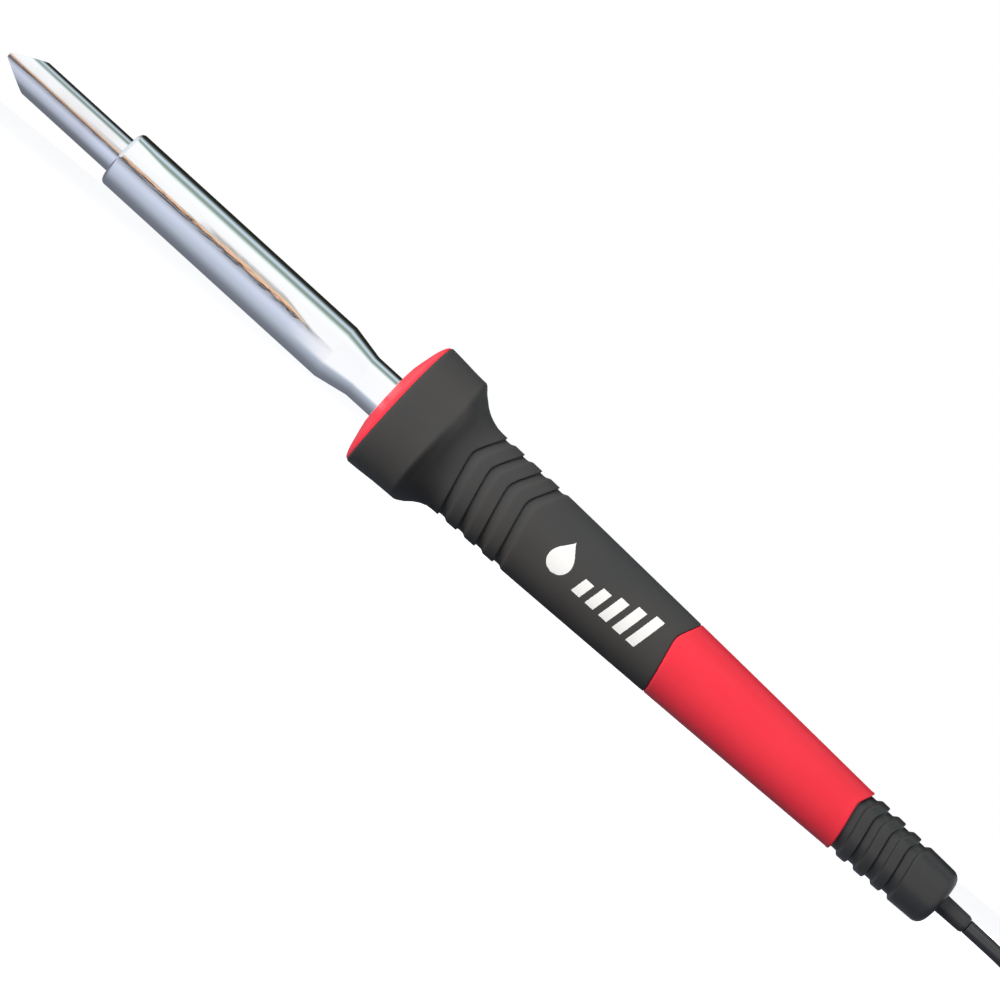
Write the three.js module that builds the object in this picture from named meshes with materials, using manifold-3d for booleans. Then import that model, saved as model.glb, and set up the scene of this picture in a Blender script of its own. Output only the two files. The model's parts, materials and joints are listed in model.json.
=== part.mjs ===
// Mains soldering iron for stained glass: a plug-in copper tip with a chisel end in a heated steel barrel,
// a moulded handle with a soft grip and a light ring, and a rubber boot on the mains cord.
// The iron is built along its own axis (+X to the cord, x = 0 at the front edge of the grip's flange) and then
// laid down on the flange's flat and the boot's collar. The cord is built on the table, in the part's own frame.
// Millimetres, +Z up. Origin: under the middle of the iron, on the table.
import * as THREE from 'three';
import { mergeVertices } from 'three/addons/utils/BufferGeometryUtils.js';
import Module from 'manifold-3d';

const wasm = await Module();
wasm.setup();

// Driving dimensions
const CLEARANCE = 0.3;
const SIDES = 36;
const INNER_SIDES = 24;

const TIP = { radius: 4.76, apex: -120.5, end: -35, edge: 0.6, halfAngle: Math.PI / 6 };
const BARREL = { front: -85.4, radius: 7.41, wall: 0.71, corner: 1.3, taperStart: -18.5, taperEnd: -10.2 };
const NECK = { radius: 5.77, bore: 4.9, end: 24 };
const BUSH = { radius: 6.4, bore: 5.06, front: -84.3, back: -76 };
const HEATER = { front: -75.7, back: -30, bore: 5.03, radius: 5.28 };
const WINDING = { radius: 5.72, wire: 0.16, turns: 8, front: -73.5, back: -32 };
const MICA = { bore: 6.1, radius: 6.4 };
const SPACER = { front: -29.7, back: -23, radius: 6.4 };
const LEAD = { offset: 3, radius: 0.6, hole: 0.95, back: 33.7 };
const CRIMP = { front: 34, back: 46, radius: 2 };
const SET_SCREW = { station: -80, radius: 1.5, foot: 5.1, top: 7.3, socket: 0.85, socketDepth: 1.2 };

const FLANGE = { cornerRadius: 14.78, cornerOffset: 3.93, back: 12 };
const GRIP_WALL = 1.9;
const GROOVE = { first: 20.7, pitch: 5.54, count: 4, width: 2.2, depth: 0.5, kink: 4.1, upper: 0.578, lower: 0.244 };
const SEAM = { kinkStation: 84, kink: 3.1, upper: 0.37, lower: 0.185 };
const HANDLE_END = 142.3;
const COLLAR = { station: 168, radius: 7.58 };

const CAP = {
  crown: -2.9, rise: 2.1, riseRadius: 17, inset: 0.8, back: -0.3, spigot: 1, window: 7.6, bore: 9.5, ledge: -1.2,
};
const LIGHT_RING = { bore: 6.07, lens: 7.45, radius: 9.2, step: -1.1, back: -0.6 };
const BOARD = { front: 1.6, back: 2.6, bore: 7, radius: 12.9 };
const LED = { radius: 7.7, size: 2.2, front: -0.3, back: 1.3 };
const PLATE = { front: 5.9, back: 7.1, bore: 6.07, radius: 12.9 };
const POCKET = { radius: 13.2, front: 1.3, back: 7.4 };
const PLATE_SCREW = { circle: 10.5, shaft: 1.3, end: 14, head: 2.3, headFront: 4.5, headBack: 5.6 };
const CLAMP = { front: 118, back: 124, halfWidth: 4.6, low: 2.15, high: 3.2, screwOffset: 3.2 };

const CORD = { radius: 1.83, core: 0.7, sheathStart: 112, tailEnd: 178.2 };
const HANK = { near: 206.2, run: 70, halfWidth: 20.3, low: 0.9, high: 8.25 };
const TIE = { width: 8, thickness: 0.6 };
const PLUG = { y: 12, z: 14.2, bootStart: 246, bodyStart: 260.3, bodyEnd: 286, width: 18, height: 11.2 };
const BLADE = { spacing: 12.7, thickness: 1.5, height: 6.3, end: 302 };

// The handle's stations: distance along the axis, corner radius of the rounded triangle, offset of its corners
const flangeDrop = FLANGE.cornerOffset / 2 + FLANGE.cornerRadius;
const restSlope = (flangeDrop - COLLAR.radius) / COLLAR.station;
const restTilt = Math.atan(restSlope);
const HANDLE = [
  [-4, FLANGE.cornerRadius, FLANGE.cornerOffset],
  [0, FLANGE.cornerRadius, FLANGE.cornerOffset],
  [FLANGE.back, FLANGE.cornerRadius - restSlope * FLANGE.back, FLANGE.cornerOffset],
  [13.2, 14.65, 2.5],
  [14.3, 14.75, 1.2],
  [15.7, 14, 0.7],
  [17.3, 13.15, 0.4],
  [19, 12.55, 0.2],
  [21, 12.2, 0.05],
  [22.6, 12.1, 0],
  [46.2, 11.6, 0],
  [67, 11, 0],
  [86.6, 10.4, 0],
  [108.5, 9.6, 0],
  [HANDLE_END, 8.42, 0],
];

// Solids
function signedVolume(positions, triangles) {
  const corner = (i) => new THREE.Vector3().fromArray(positions, 3 * triangles[i]);
  let volume = 0;
  for (let i = 0; i < triangles.length; i += 3) {
    volume += corner(i).dot(corner(i + 1).cross(corner(i + 2))) / 6;
  }
  return volume;
}

function solidOf(geometry) {
  const bare = geometry.clone();
  bare.deleteAttribute('normal');
  bare.deleteAttribute('uv');
  const merged = mergeVertices(bare, 1e-4);
  const index = merged.index.array;
  const positions = new Float32Array(merged.attributes.position.array);
  const triangles = [];
  for (let i = 0; i < index.length; i += 3) {
    const [a, b, c] = [index[i], index[i + 1], index[i + 2]];
    if (a !== b && b !== c && c !== a) triangles.push(a, b, c);
  }
  if (signedVolume(positions, triangles) < 0) triangles.reverse();
  return new wasm.Manifold(new wasm.Mesh({
    numProp: 3,
    vertProperties: positions,
    triVerts: new Uint32Array(triangles),
  }));
}

function meshOf(name, solid, look) {
  const { vertProperties, triVerts } = solid.getMesh();
  const geometry = new THREE.BufferGeometry();
  geometry.setAttribute('position', new THREE.BufferAttribute(vertProperties, 3));
  geometry.setIndex(new THREE.BufferAttribute(triVerts, 1));
  geometry.computeVertexNormals();
  const mesh = new THREE.Mesh(geometry, new THREE.MeshStandardMaterial(look));
  mesh.name = name;
  return mesh;
}

// A profile of [x, radius] points, turned about the X axis
function turned(profile, sides = SIDES) {
  const closed = [...profile, profile[0]].map(([x, radius]) => new THREE.Vector2(radius, x));
  return solidOf(new THREE.LatheGeometry(closed, sides).rotateZ(-Math.PI / 2));
}

function pipe(bore, radius, front, back, sides = INNER_SIDES) {
  return turned([[front, bore], [front, radius], [back, radius], [back, bore]], sides);
}

function disc(radius, front, back, sides = INNER_SIDES) {
  return turned([[front, 0], [front, radius], [back, radius], [back, 0]], sides);
}

function arc(x, radius, size, from, to, steps) {
  return Array.from({ length: steps + 1 }, (_, i) => {
    const angle = from + (to - from) * i / steps;
    return [x + size * Math.cos(angle), radius + size * Math.sin(angle)];
  });
}

function block([x0, x1], [y0, y1], [z0, z1]) {
  const box = new THREE.BoxGeometry(x1 - x0, y1 - y0, z1 - z0);
  return solidOf(box.translate((x0 + x1) / 2, (y0 + y1) / 2, (z0 + z1) / 2));
}

// A pin that stands along Y or Z
function pinAlongY(radius, x, z, from, to, sides = 16) {
  const pin = new THREE.CylinderGeometry(radius, radius, to - from, sides);
  return solidOf(pin.translate(x, (from + to) / 2, z));
}

function pinAlongZ(radius, x, y, from, to, sides = 16) {
  const pin = new THREE.CylinderGeometry(radius, radius, to - from, sides).rotateX(Math.PI / 2);
  return solidOf(pin.translate(x, y, (from + to) / 2));
}

// An outline of [x, z] points, extruded along Y over the given half width
function prism(outline, halfWidth) {
  const shape = new THREE.Shape(outline.map(([x, z]) => new THREE.Vector2(x, z)));
  const slab = new THREE.ExtrudeGeometry(shape, { depth: 2 * halfWidth, bevelEnabled: false });
  return solidOf(slab.rotateX(Math.PI / 2).translate(0, halfWidth, 0));
}

function swept(curve, radius, steps, sides = 8) {
  const ring = Array.from({ length: sides }, (_, i) => {
    const angle = 2 * Math.PI * i / sides;
    return new THREE.Vector2(radius * Math.cos(angle), radius * Math.sin(angle));
  });
  return solidOf(new THREE.ExtrudeGeometry(new THREE.Shape(ring), { steps, extrudePath: curve }));
}

function throughPoints(points) {
  return new THREE.CatmullRomCurve3(points.map((point) => new THREE.Vector3(...point)), false, 'centripetal');
}

// The radius, in one direction, of a triangle with round corners, its first corner up
function outlineRadius(angle, cornerRadius, cornerOffset) {
  const third = 2 * Math.PI / 3;
  const turn = (angle - Math.PI / 2 + third / 2 + 4 * Math.PI) % third;
  const fromCorner = Math.abs(turn - third / 2);
  const flatStart = Math.atan2(cornerRadius * Math.sin(third / 2), cornerOffset + cornerRadius * Math.cos(third / 2));
  if (fromCorner > flatStart) {
    return (cornerOffset / 2 + cornerRadius) / Math.cos(third / 2 - fromCorner);
  }
  const sideways = cornerOffset * Math.sin(fromCorner);
  return cornerOffset * Math.cos(fromCorner) + Math.sqrt(cornerRadius ** 2 - sideways ** 2);
}

function stationAt(x) {
  const next = HANDLE.findIndex((station) => station[0] > x);
  const [before, after] = [HANDLE[next - 1], HANDLE[next]];
  const share = (x - before[0]) / (after[0] - before[0]);
  return before.map((value, i) => value + (after[i] - value) * share);
}

// The handle's outer form between two stations, drawn in by an inset all round
function handleSolid(inset, from, to) {
  const between = HANDLE.filter((station) => station[0] > from && station[0] < to);
  const last = to < HANDLE_END ? stationAt(to) : [to, ...HANDLE[HANDLE.length - 1].slice(1)];
  const stations = [stationAt(from), ...between, last];
  const positions = [];
  for (const [x, cornerRadius, cornerOffset] of stations) {
    for (let i = 0; i < SIDES; i++) {
      const angle = 2 * Math.PI * i / SIDES;
      const radius = outlineRadius(angle, cornerRadius - inset, cornerOffset);
      positions.push(x, radius * Math.cos(angle), radius * Math.sin(angle));
    }
  }
  positions.push(stations[0][0], 0, 0, last[0], 0, 0);
  const [frontCentre, backCentre] = [stations.length * SIDES, stations.length * SIDES + 1];
  const backRing = (stations.length - 1) * SIDES;
  const index = [];
  for (let i = 0; i < SIDES; i++) {
    const j = (i + 1) % SIDES;
    for (let ring = 0; ring < backRing; ring += SIDES) {
      index.push(ring + i, ring + j, ring + SIDES + i, ring + j, ring + SIDES + j, ring + SIDES + i);
    }
    index.push(frontCentre, j, i, backCentre, backRing + i, backRing + j);
  }
  const geometry = new THREE.BufferGeometry();
  geometry.setAttribute('position', new THREE.Float32BufferAttribute(positions, 3));
  geometry.setIndex(index);
  return solidOf(geometry);
}

// A band between two kinked lines across the side of the handle, seen along Y
function chevron(line, start, end) {
  const reach = 30;
  const edge = (shift) => [
    [line.station + shift + line.upper * (reach - line.kink), reach],
    [line.station + shift, line.kink],
    [line.station + shift + line.lower * (reach + line.kink), -reach],
  ];
  return prism([...edge(start), ...edge(end).reverse()], reach);
}

// Looks
const looks = {
  chrome: { color: 0xd8dade, roughness: 0.12, metalness: 1 },
  steel: { color: 0x9a9c9e, roughness: 0.35, metalness: 1 },
  brass: { color: 0xb99a55, roughness: 0.3, metalness: 1 },
  nichrome: { color: 0x8b8378, roughness: 0.45, metalness: 1 },
  mica: { color: 0xb9a888, roughness: 0.6, metalness: 0 },
  ceramic: { color: 0xe9e5da, roughness: 0.7, metalness: 0 },
  rubber: { color: 0x3c3d3e, roughness: 0.65, metalness: 0 },
  redPlastic: { color: 0xdc2238, roughness: 0.35, metalness: 0 },
  clearPlastic: { color: 0xf4e6e6, roughness: 0.2, metalness: 0 },
  board: { color: 0x2c6b3f, roughness: 0.5, metalness: 0 },
  lead: { color: 0xf3f0e4, roughness: 0.6, metalness: 0 },
  cord: { color: 0x2b2c30, roughness: 0.5, metalness: 0 },
};

// Tip, barrel and heater
function tip() {
  const wedge = (TIP.radius - TIP.edge) / Math.tan(TIP.halfAngle);
  const slack = 1;
  const outline = [
    [TIP.apex, TIP.edge],
    [TIP.apex, -TIP.edge],
    [TIP.apex + wedge + slack, -TIP.radius - slack * Math.tan(TIP.halfAngle)],
    [TIP.end + slack, -TIP.radius - slack],
    [TIP.end + slack, TIP.radius + slack],
    [TIP.apex + wedge + slack, TIP.radius + slack * Math.tan(TIP.halfAngle)],
  ];
  const chamfer = 0.6;
  const bar = turned([
    [TIP.apex, 0],
    [TIP.apex, TIP.radius],
    [TIP.end - chamfer, TIP.radius],
    [TIP.end, TIP.radius - chamfer],
    [TIP.end, 0],
  ]);
  return meshOf('tip', bar.intersect(prism(outline, 2 * TIP.radius)), looks.chrome);
}

function setScrewHole() {
  return pinAlongY(SET_SCREW.radius + CLEARANCE, SET_SCREW.station, 0, 2, 10);
}

function setScrew() {
  const body = pinAlongY(SET_SCREW.radius, SET_SCREW.station, 0, SET_SCREW.foot, SET_SCREW.top, 24);
  const floor = SET_SCREW.top - SET_SCREW.socketDepth;
  const socket = pinAlongY(SET_SCREW.socket, SET_SCREW.station, 0, floor, SET_SCREW.top + 1, 6);
  return meshOf('set_screw', body.subtract(socket), looks.steel);
}

function barrel() {
  const bore = BARREL.radius - BARREL.wall;
  const lip = BARREL.front + BARREL.wall;
  const corner = [BARREL.front + BARREL.corner, BARREL.radius - BARREL.corner];
  const shell = turned([
    [BARREL.front, BUSH.bore],
    ...arc(...corner, BARREL.corner, Math.PI, Math.PI / 2, 4),
    [BARREL.taperStart, BARREL.radius],
    [BARREL.taperEnd, NECK.radius],
    [NECK.end, NECK.radius],
    [NECK.end, NECK.bore],
    [BARREL.taperEnd, NECK.bore],
    [BARREL.taperStart - 1, bore],
    [lip, bore],
    [lip, BUSH.bore],
  ]);
  return meshOf('barrel', shell.subtract(setScrewHole()), looks.chrome);
}

function noseBush() {
  const ring = pipe(BUSH.bore, BUSH.radius, BUSH.front, BUSH.back);
  return meshOf('nose_bush', ring.subtract(setScrewHole()), looks.steel);
}

class Helix extends THREE.Curve {
  getPoint(t) {
    const angle = 2 * Math.PI * WINDING.turns * t;
    const x = WINDING.front + (WINDING.back - WINDING.front) * t;
    return new THREE.Vector3(x, WINDING.radius * Math.cos(angle), WINDING.radius * Math.sin(angle));
  }
}

function heaterPieces() {
  const holes = [-1, 1].map((side) => leadAlong(side, SPACER.front - 1, SPACER.back + 1, LEAD.hole));
  const spacer = disc(SPACER.radius, SPACER.front, SPACER.back).subtract(holes[0]).subtract(holes[1]);
  return [
    meshOf('heater_tube', pipe(HEATER.bore, HEATER.radius, HEATER.front, HEATER.back), looks.steel),
    meshOf('heater_winding', swept(new Helix(), WINDING.wire, 10 * WINDING.turns, 4), looks.nichrome),
    meshOf('mica_sleeve', pipe(MICA.bore, MICA.radius, HEATER.front, HEATER.back), looks.mica),
    meshOf('ceramic_spacer', spacer, looks.ceramic),
  ];
}

// Wiring inside the handle: one run on each side of the axis
function leadAlong(side, front, back, radius) {
  return disc(radius, front, back, 12).translate([0, side * LEAD.offset, 0]);
}

function wiring(side, number) {
  const core = throughPoints([
    [CRIMP.back + CLEARANCE, side * LEAD.offset, 0],
    [60, side * 2.6, 0],
    [85, side * 1.2, 0],
    [CORD.sheathStart - CLEARANCE, side * 0.95, 0],
  ]);
  return [
    meshOf(`heater_lead_${number}`, leadAlong(side, SPACER.front, LEAD.back, LEAD.radius), looks.lead),
    meshOf(`crimp_${number}`, leadAlong(side, CRIMP.front, CRIMP.back, CRIMP.radius), looks.clearPlastic),
    meshOf(`cord_core_${number}`, swept(core, CORD.core, 10, 6), looks.lead),
  ];
}

// Front of the handle: cap, light ring, board and the plate that holds the barrel
function frontCap() {
  const crownAt = (radius) => CAP.crown + CAP.rise * (radius / CAP.riseRadius) ** 2;
  const radii = [CAP.window, 9.5, 11.5, 13.5, 15.5, 17.2, 18.8];
  const dome = turned([
    ...radii.map((radius) => [crownAt(radius), radius]),
    [CAP.back, 18.8],
    [CAP.back, CAP.window],
  ]);
  const rim = dome.intersect(handleSolid(CAP.inset, -4, 0));
  const spigot = handleSolid(GRIP_WALL + CLEARANCE, CAP.back - 0.2, CAP.spigot);
  const bore = disc(CAP.bore, CAP.ledge, 4);
  return meshOf('front_cap', rim.add(spigot).subtract(bore), looks.redPlastic);
}

function lightRing() {
  const ring = turned([
    [CAP.crown + 0.1, LIGHT_RING.bore],
    [CAP.crown + 0.4, LIGHT_RING.lens],
    [LIGHT_RING.step, LIGHT_RING.lens],
    [LIGHT_RING.step, LIGHT_RING.radius],
    [LIGHT_RING.back, LIGHT_RING.radius],
    [LIGHT_RING.back, LIGHT_RING.bore],
  ], INNER_SIDES);
  return meshOf('light_ring', ring, looks.clearPlastic);
}

function aroundAxis(number, radius) {
  const angle = Math.PI / 6 + 2 * Math.PI * number / 3;
  return [radius * Math.cos(angle), radius * Math.sin(angle)];
}

function led(number) {
  const [y, z] = aroundAxis(number, LED.radius);
  const half = LED.size / 2;
  return meshOf(`led_${number}`, block([LED.front, LED.back], [y - half, y + half], [z - half, z + half]), looks.ceramic);
}

function boardPieces() {
  const [front, back] = [BOARD.back + CLEARANCE, BOARD.back + CLEARANCE + 1.6];
  const component = (number, length) => {
    const [y, z] = aroundAxis(number, 10);
    return pinAlongZ(0.8, (front + back) / 2, y, z - length / 2, z + length / 2, 12);
  };
  return [
    meshOf('led_board', pipe(BOARD.bore, BOARD.radius, BOARD.front, BOARD.back), looks.board),
    meshOf('series_resistor', component(0, 6), looks.mica),
    meshOf('rectifier_diode', component(1, 4), looks.rubber),
  ];
}

function screwPlace(number) {
  const angle = Math.PI / 2 + 2 * Math.PI * number / 3;
  return [0, PLATE_SCREW.circle * Math.cos(angle), PLATE_SCREW.circle * Math.sin(angle)];
}

function plateScrewHole(number, front, back) {
  return disc(PLATE_SCREW.shaft + CLEARANCE, front, back, 12).translate(screwPlace(number));
}

function mountingPlate() {
  let plate = pipe(PLATE.bore, PLATE.radius, PLATE.front, PLATE.back);
  for (const number of [1, 2, 3]) {
    plate = plate.subtract(plateScrewHole(number, PLATE.front - 1, PLATE.back + 1));
  }
  return meshOf('mounting_plate', plate, looks.steel);
}

function mountingScrew(number) {
  const slot = block([PLATE_SCREW.headFront - 1, PLATE_SCREW.headFront + 0.5], [-0.3, 0.3], [-3, 3]);
  const screw = turned([
    [PLATE_SCREW.headFront, 0],
    [PLATE_SCREW.headFront, PLATE_SCREW.head - 0.4],
    [PLATE_SCREW.headFront + 0.4, PLATE_SCREW.head],
    [PLATE_SCREW.headBack, PLATE_SCREW.head],
    [PLATE_SCREW.headBack, PLATE_SCREW.shaft],
    [PLATE_SCREW.end - 1, PLATE_SCREW.shaft],
    [PLATE_SCREW.end, 0],
  ], 12);
  return meshOf(`mounting_screw_${number}`, screw.subtract(slot).translate(screwPlace(number)), looks.steel);
}

// Handle: a hollow red core with a black grip moulded over its front two thirds
function softGrip() {
  const rear = { ...SEAM, station: SEAM.kinkStation };
  let grip = handleSolid(0, 0, 96).subtract(handleSolid(GRIP_WALL, -1, 97));
  grip = grip.subtract(chevron(rear, 0, 40));
  const floor = handleSolid(GROOVE.depth, 14, 60);
  for (let i = 0; i < GROOVE.count; i++) {
    const line = { ...GROOVE, station: GROOVE.first + i * GROOVE.pitch };
    grip = grip.subtract(chevron(line, 0, GROOVE.width).subtract(floor));
  }
  return meshOf('soft_grip', grip, looks.rubber);
}

function handleCore() {
  const rear = { ...SEAM, station: SEAM.kinkStation };
  const sleeve = handleSolid(GRIP_WALL + CLEARANCE, POCKET.front, HANDLE_END);
  const bareEnd = handleSolid(0, 80, HANDLE_END).intersect(chevron(rear, CLEARANCE, 80));
  const cavity = turned([
    [0, 0],
    [0, POCKET.radius],
    [POCKET.back, POCKET.radius],
    [POCKET.back, 8.4],
    [20, 8.2],
    [86, 6.5],
    [HANDLE_END + 1, 6.5],
    [HANDLE_END + 1, 0],
  ]);
  const saddle = block([CLAMP.front - 1, CLAMP.back + 1], [-6.2, 6.2], [-7.2, -CLAMP.low]);
  let core = sleeve.add(bareEnd).subtract(cavity).add(saddle.intersect(handleSolid(1, 100, 140)));
  for (const number of [1, 2, 3]) {
    core = core.subtract(plateScrewHole(number, POCKET.back - 1, PLATE_SCREW.end + 1));
  }
  for (const side of [-1, 1]) {
    core = core.subtract(clampScrewHole(side, -5.4, 0));
  }
  return meshOf('handle_core', core, looks.redPlastic);
}

// Cord clamp
const clampMiddle = (CLAMP.front + CLAMP.back) / 2;

function clampScrewHole(side, low, high) {
  return pinAlongZ(1.2, clampMiddle, side * CLAMP.screwOffset, low, high, 10);
}

function cordClamp() {
  const bar = block([CLAMP.front, CLAMP.back], [-CLAMP.halfWidth, CLAMP.halfWidth], [CLAMP.low, CLAMP.high]);
  const holes = [-1, 1].map((side) => clampScrewHole(side, CLAMP.low - 1, CLAMP.high + 1));
  return meshOf('cord_clamp', bar.subtract(holes[0]).subtract(holes[1]), looks.steel);
}

function clampScrew(side, number) {
  const y = side * CLAMP.screwOffset;
  const headLow = CLAMP.high + CLEARANCE;
  const shaft = pinAlongZ(0.9, clampMiddle, y, -5, headLow + 0.1, 10);
  const head = pinAlongZ(1.2, clampMiddle, y, headLow, headLow + 0.8, 12);
  return meshOf(`clamp_screw_${number}`, shaft.add(head), looks.steel);
}

// Ribbed boot with its collar, and the cord's sheath through it
function boot() {
  const rib = (front, back, radius, recess) => [
    [front, recess[0]],
    [front, radius],
    [back, radius],
    [back, recess[1]],
  ];
  const profile = [
    [138.5, 2],
    [138.5, 6.2],
    [HANDLE_END + CLEARANCE, 6.2],
    [HANDLE_END + CLEARANCE, 7.6],
    ...rib(144.2, 147.3, 8.3, [7.6, 7.4]),
    ...rib(149.4, 152.5, 8.13, [7.4, 7.4]),
    ...rib(154.7, 157.7, 7.9, [7.4, 7.04]),
    [159.8, 7.04],
    [159.8, 7.85],
    [COLLAR.station, COLLAR.radius],
    [169.6, 6.7],
    [170.4, 5.2],
    [170.4, 2.65],
    [CORD.tailEnd, 2.35],
    [CORD.tailEnd, 2],
  ];
  return meshOf('strain_relief_boot', turned(profile), looks.rubber);
}

function innerCord() {
  const sheath = disc(CORD.radius, CORD.sheathStart, CORD.tailEnd - CLEARANCE, 16);
  return meshOf('cord_inner', sheath, looks.cord);
}

// Cord on the table: a run from the boot, a tied hank and a lead to the plug on top of it
const RUN_POINTS = [
  [149.4, 0, 6.95],
  [154, 0, 6.7],
  [159.5, 0, 6.35],
  [165, 0.4, 5.8],
  [171, 1.85, 5],
  [177.5, 4.9, 4],
  [183.1, 9.2, 3.2],
  [187.3, 12.9, 2.85],
];
const LEAD_POINTS = [
  [230, -18.4, 10.45],
  [218, -18.4, 10.45],
  [206.2, -18.4, 10.45],
  [195.4, -13.9, 10.45],
  [191, -3.2, 10.45],
  [195.4, 7.5, 10.45],
  [206.2, 12, 10.6],
  [218, 12, 10.8],
  [228, 12, 11.3],
  [236, 12, 12.2],
  [242, 12, 13.5],
  [PLUG.bootStart - CLEARANCE, 12, PLUG.z],
];

function hank() {
  const outline = new THREE.Shape();
  const far = HANK.near + HANK.run;
  outline.absarc(HANK.near, 0, HANK.halfWidth, Math.PI / 2, 3 * Math.PI / 2);
  outline.absarc(far, 0, HANK.halfWidth, -Math.PI / 2, Math.PI / 2);
  const depth = HANK.high - HANK.low;
  const slab = new THREE.ExtrudeGeometry(outline, { depth, bevelEnabled: false, curveSegments: 16 });
  return meshOf('cord_hank', solidOf(slab.translate(0, 0, HANK.low)), looks.cord);
}

function hankTie() {
  const middle = HANK.near + HANK.run / 2;
  const halfWidth = HANK.halfWidth + CLEARANCE;
  const [front, back] = [middle - TIE.width / 2, middle + TIE.width / 2];
  const outer = halfWidth + TIE.thickness;
  const top = HANK.high + CLEARANCE;
  const band = block([front, back], [-outer, outer], [0, top + TIE.thickness]);
  const inside = block([front - 1, back + 1], [-halfWidth, halfWidth], [TIE.thickness, top]);
  return meshOf('hank_tie', band.subtract(inside), looks.rubber);
}

function plugPieces() {
  const half = PLUG.width / 2;
  const body = new THREE.Shape([
    new THREE.Vector2(PLUG.bodyStart, -half + 4),
    new THREE.Vector2(PLUG.bodyStart + 7, -half),
    new THREE.Vector2(PLUG.bodyEnd, -half),
    new THREE.Vector2(PLUG.bodyEnd, half),
    new THREE.Vector2(PLUG.bodyStart + 7, half),
    new THREE.Vector2(PLUG.bodyStart, half - 4),
  ]);
  const slab = new THREE.ExtrudeGeometry(body, { depth: PLUG.height, bevelEnabled: false });
  const boot = turned([
    [PLUG.bootStart, 0],
    [PLUG.bootStart, CORD.radius + 0.5],
    [PLUG.bodyStart - CLEARANCE, 4.2],
    [PLUG.bodyStart - CLEARANCE, 0],
  ], 16);
  const blade = (side) => {
    const y = PLUG.y + side * BLADE.spacing / 2;
    const [halfThickness, halfHeight] = [BLADE.thickness / 2, BLADE.height / 2];
    return block(
      [PLUG.bodyEnd + CLEARANCE, BLADE.end],
      [y - halfThickness, y + halfThickness],
      [PLUG.z - halfHeight, PLUG.z + halfHeight],
    );
  };
  return [
    meshOf('plug_body', solidOf(slab.translate(0, PLUG.y, PLUG.z - PLUG.height / 2)), looks.cord),
    meshOf('plug_boot', boot.translate([0, PLUG.y, PLUG.z]), looks.cord),
    meshOf('plug_blade_1', blade(-1), looks.brass),
    meshOf('plug_blade_2', blade(1), looks.brass),
  ];
}

// The iron lies on the flange's flat and the boot's collar, its tip raised
const iron = new THREE.Group();
iron.add(tip(), setScrew(), barrel(), noseBush(), ...heaterPieces());
iron.add(...wiring(-1, 1), ...wiring(1, 2));
iron.add(frontCap(), lightRing(), ...boardPieces(), mountingPlate());
iron.add(...[1, 2, 3].map(led), ...[1, 2, 3].map(mountingScrew));
iron.add(softGrip(), handleCore(), cordClamp(), clampScrew(-1, 1), clampScrew(1, 2), boot(), innerCord());
iron.rotation.y = restTilt;
iron.position.z = flangeDrop * Math.cos(restTilt);
iron.updateMatrixWorld(true);
const extent = new THREE.Box3().setFromObject(iron, true);
iron.position.x = -(extent.min.x + extent.max.x) / 2;

const cord = new THREE.Group();
cord.add(meshOf('cord_run', swept(throughPoints(RUN_POINTS), CORD.radius, 16), looks.cord));
cord.add(meshOf('cord_lead', swept(throughPoints(LEAD_POINTS), CORD.radius, 30), looks.cord));
cord.add(hank(), hankTie(), ...plugPieces());

const solderingIron = new THREE.Group();
solderingIron.add(iron, cord);

export default solderingIron;
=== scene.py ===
import json
import math

import bmesh
import bpy
from mathutils import Matrix, Vector


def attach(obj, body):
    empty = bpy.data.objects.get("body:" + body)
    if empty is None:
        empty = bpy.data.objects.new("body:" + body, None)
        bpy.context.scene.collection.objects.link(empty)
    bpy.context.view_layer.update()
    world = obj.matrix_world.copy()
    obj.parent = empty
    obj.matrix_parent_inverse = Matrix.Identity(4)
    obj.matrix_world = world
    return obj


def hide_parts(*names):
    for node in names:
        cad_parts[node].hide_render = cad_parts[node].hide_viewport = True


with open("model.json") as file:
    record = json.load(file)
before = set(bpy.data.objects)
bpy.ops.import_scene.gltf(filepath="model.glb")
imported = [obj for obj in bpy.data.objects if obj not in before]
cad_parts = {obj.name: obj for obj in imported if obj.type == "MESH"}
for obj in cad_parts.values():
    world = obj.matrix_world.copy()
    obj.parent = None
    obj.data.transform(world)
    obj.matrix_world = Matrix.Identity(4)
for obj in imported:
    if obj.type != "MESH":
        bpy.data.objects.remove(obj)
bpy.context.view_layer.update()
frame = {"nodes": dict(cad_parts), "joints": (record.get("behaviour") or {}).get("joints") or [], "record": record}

# Everything on the iron is built in millimetres along its own axis: x to the cord from the flange's front
# edge, z up, y to the set screw's side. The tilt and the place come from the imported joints.
MM = 0.001
SCREW_STATION = -80
joints = {joint["name"]: joint for joint in frame["joints"]}
AXIS = -Vector(joints["tip_slide"]["axis"]).normalized()
SIDE = Vector((0, 1, 0))
UP = AXIS.cross(SIDE)
screw_place = Vector(joints["set_screw_turn"]["pos_m"])
ORIGIN = Vector((screw_place.x, 0, screw_place.z)) - AXIS * SCREW_STATION * MM
IRON = Matrix.Translation(ORIGIN) @ Matrix((AXIS, SIDE, UP)).transposed().to_4x4() @ Matrix.Scale(MM, 4)
ROUND = 160
CREASE = math.radians(38)

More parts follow.
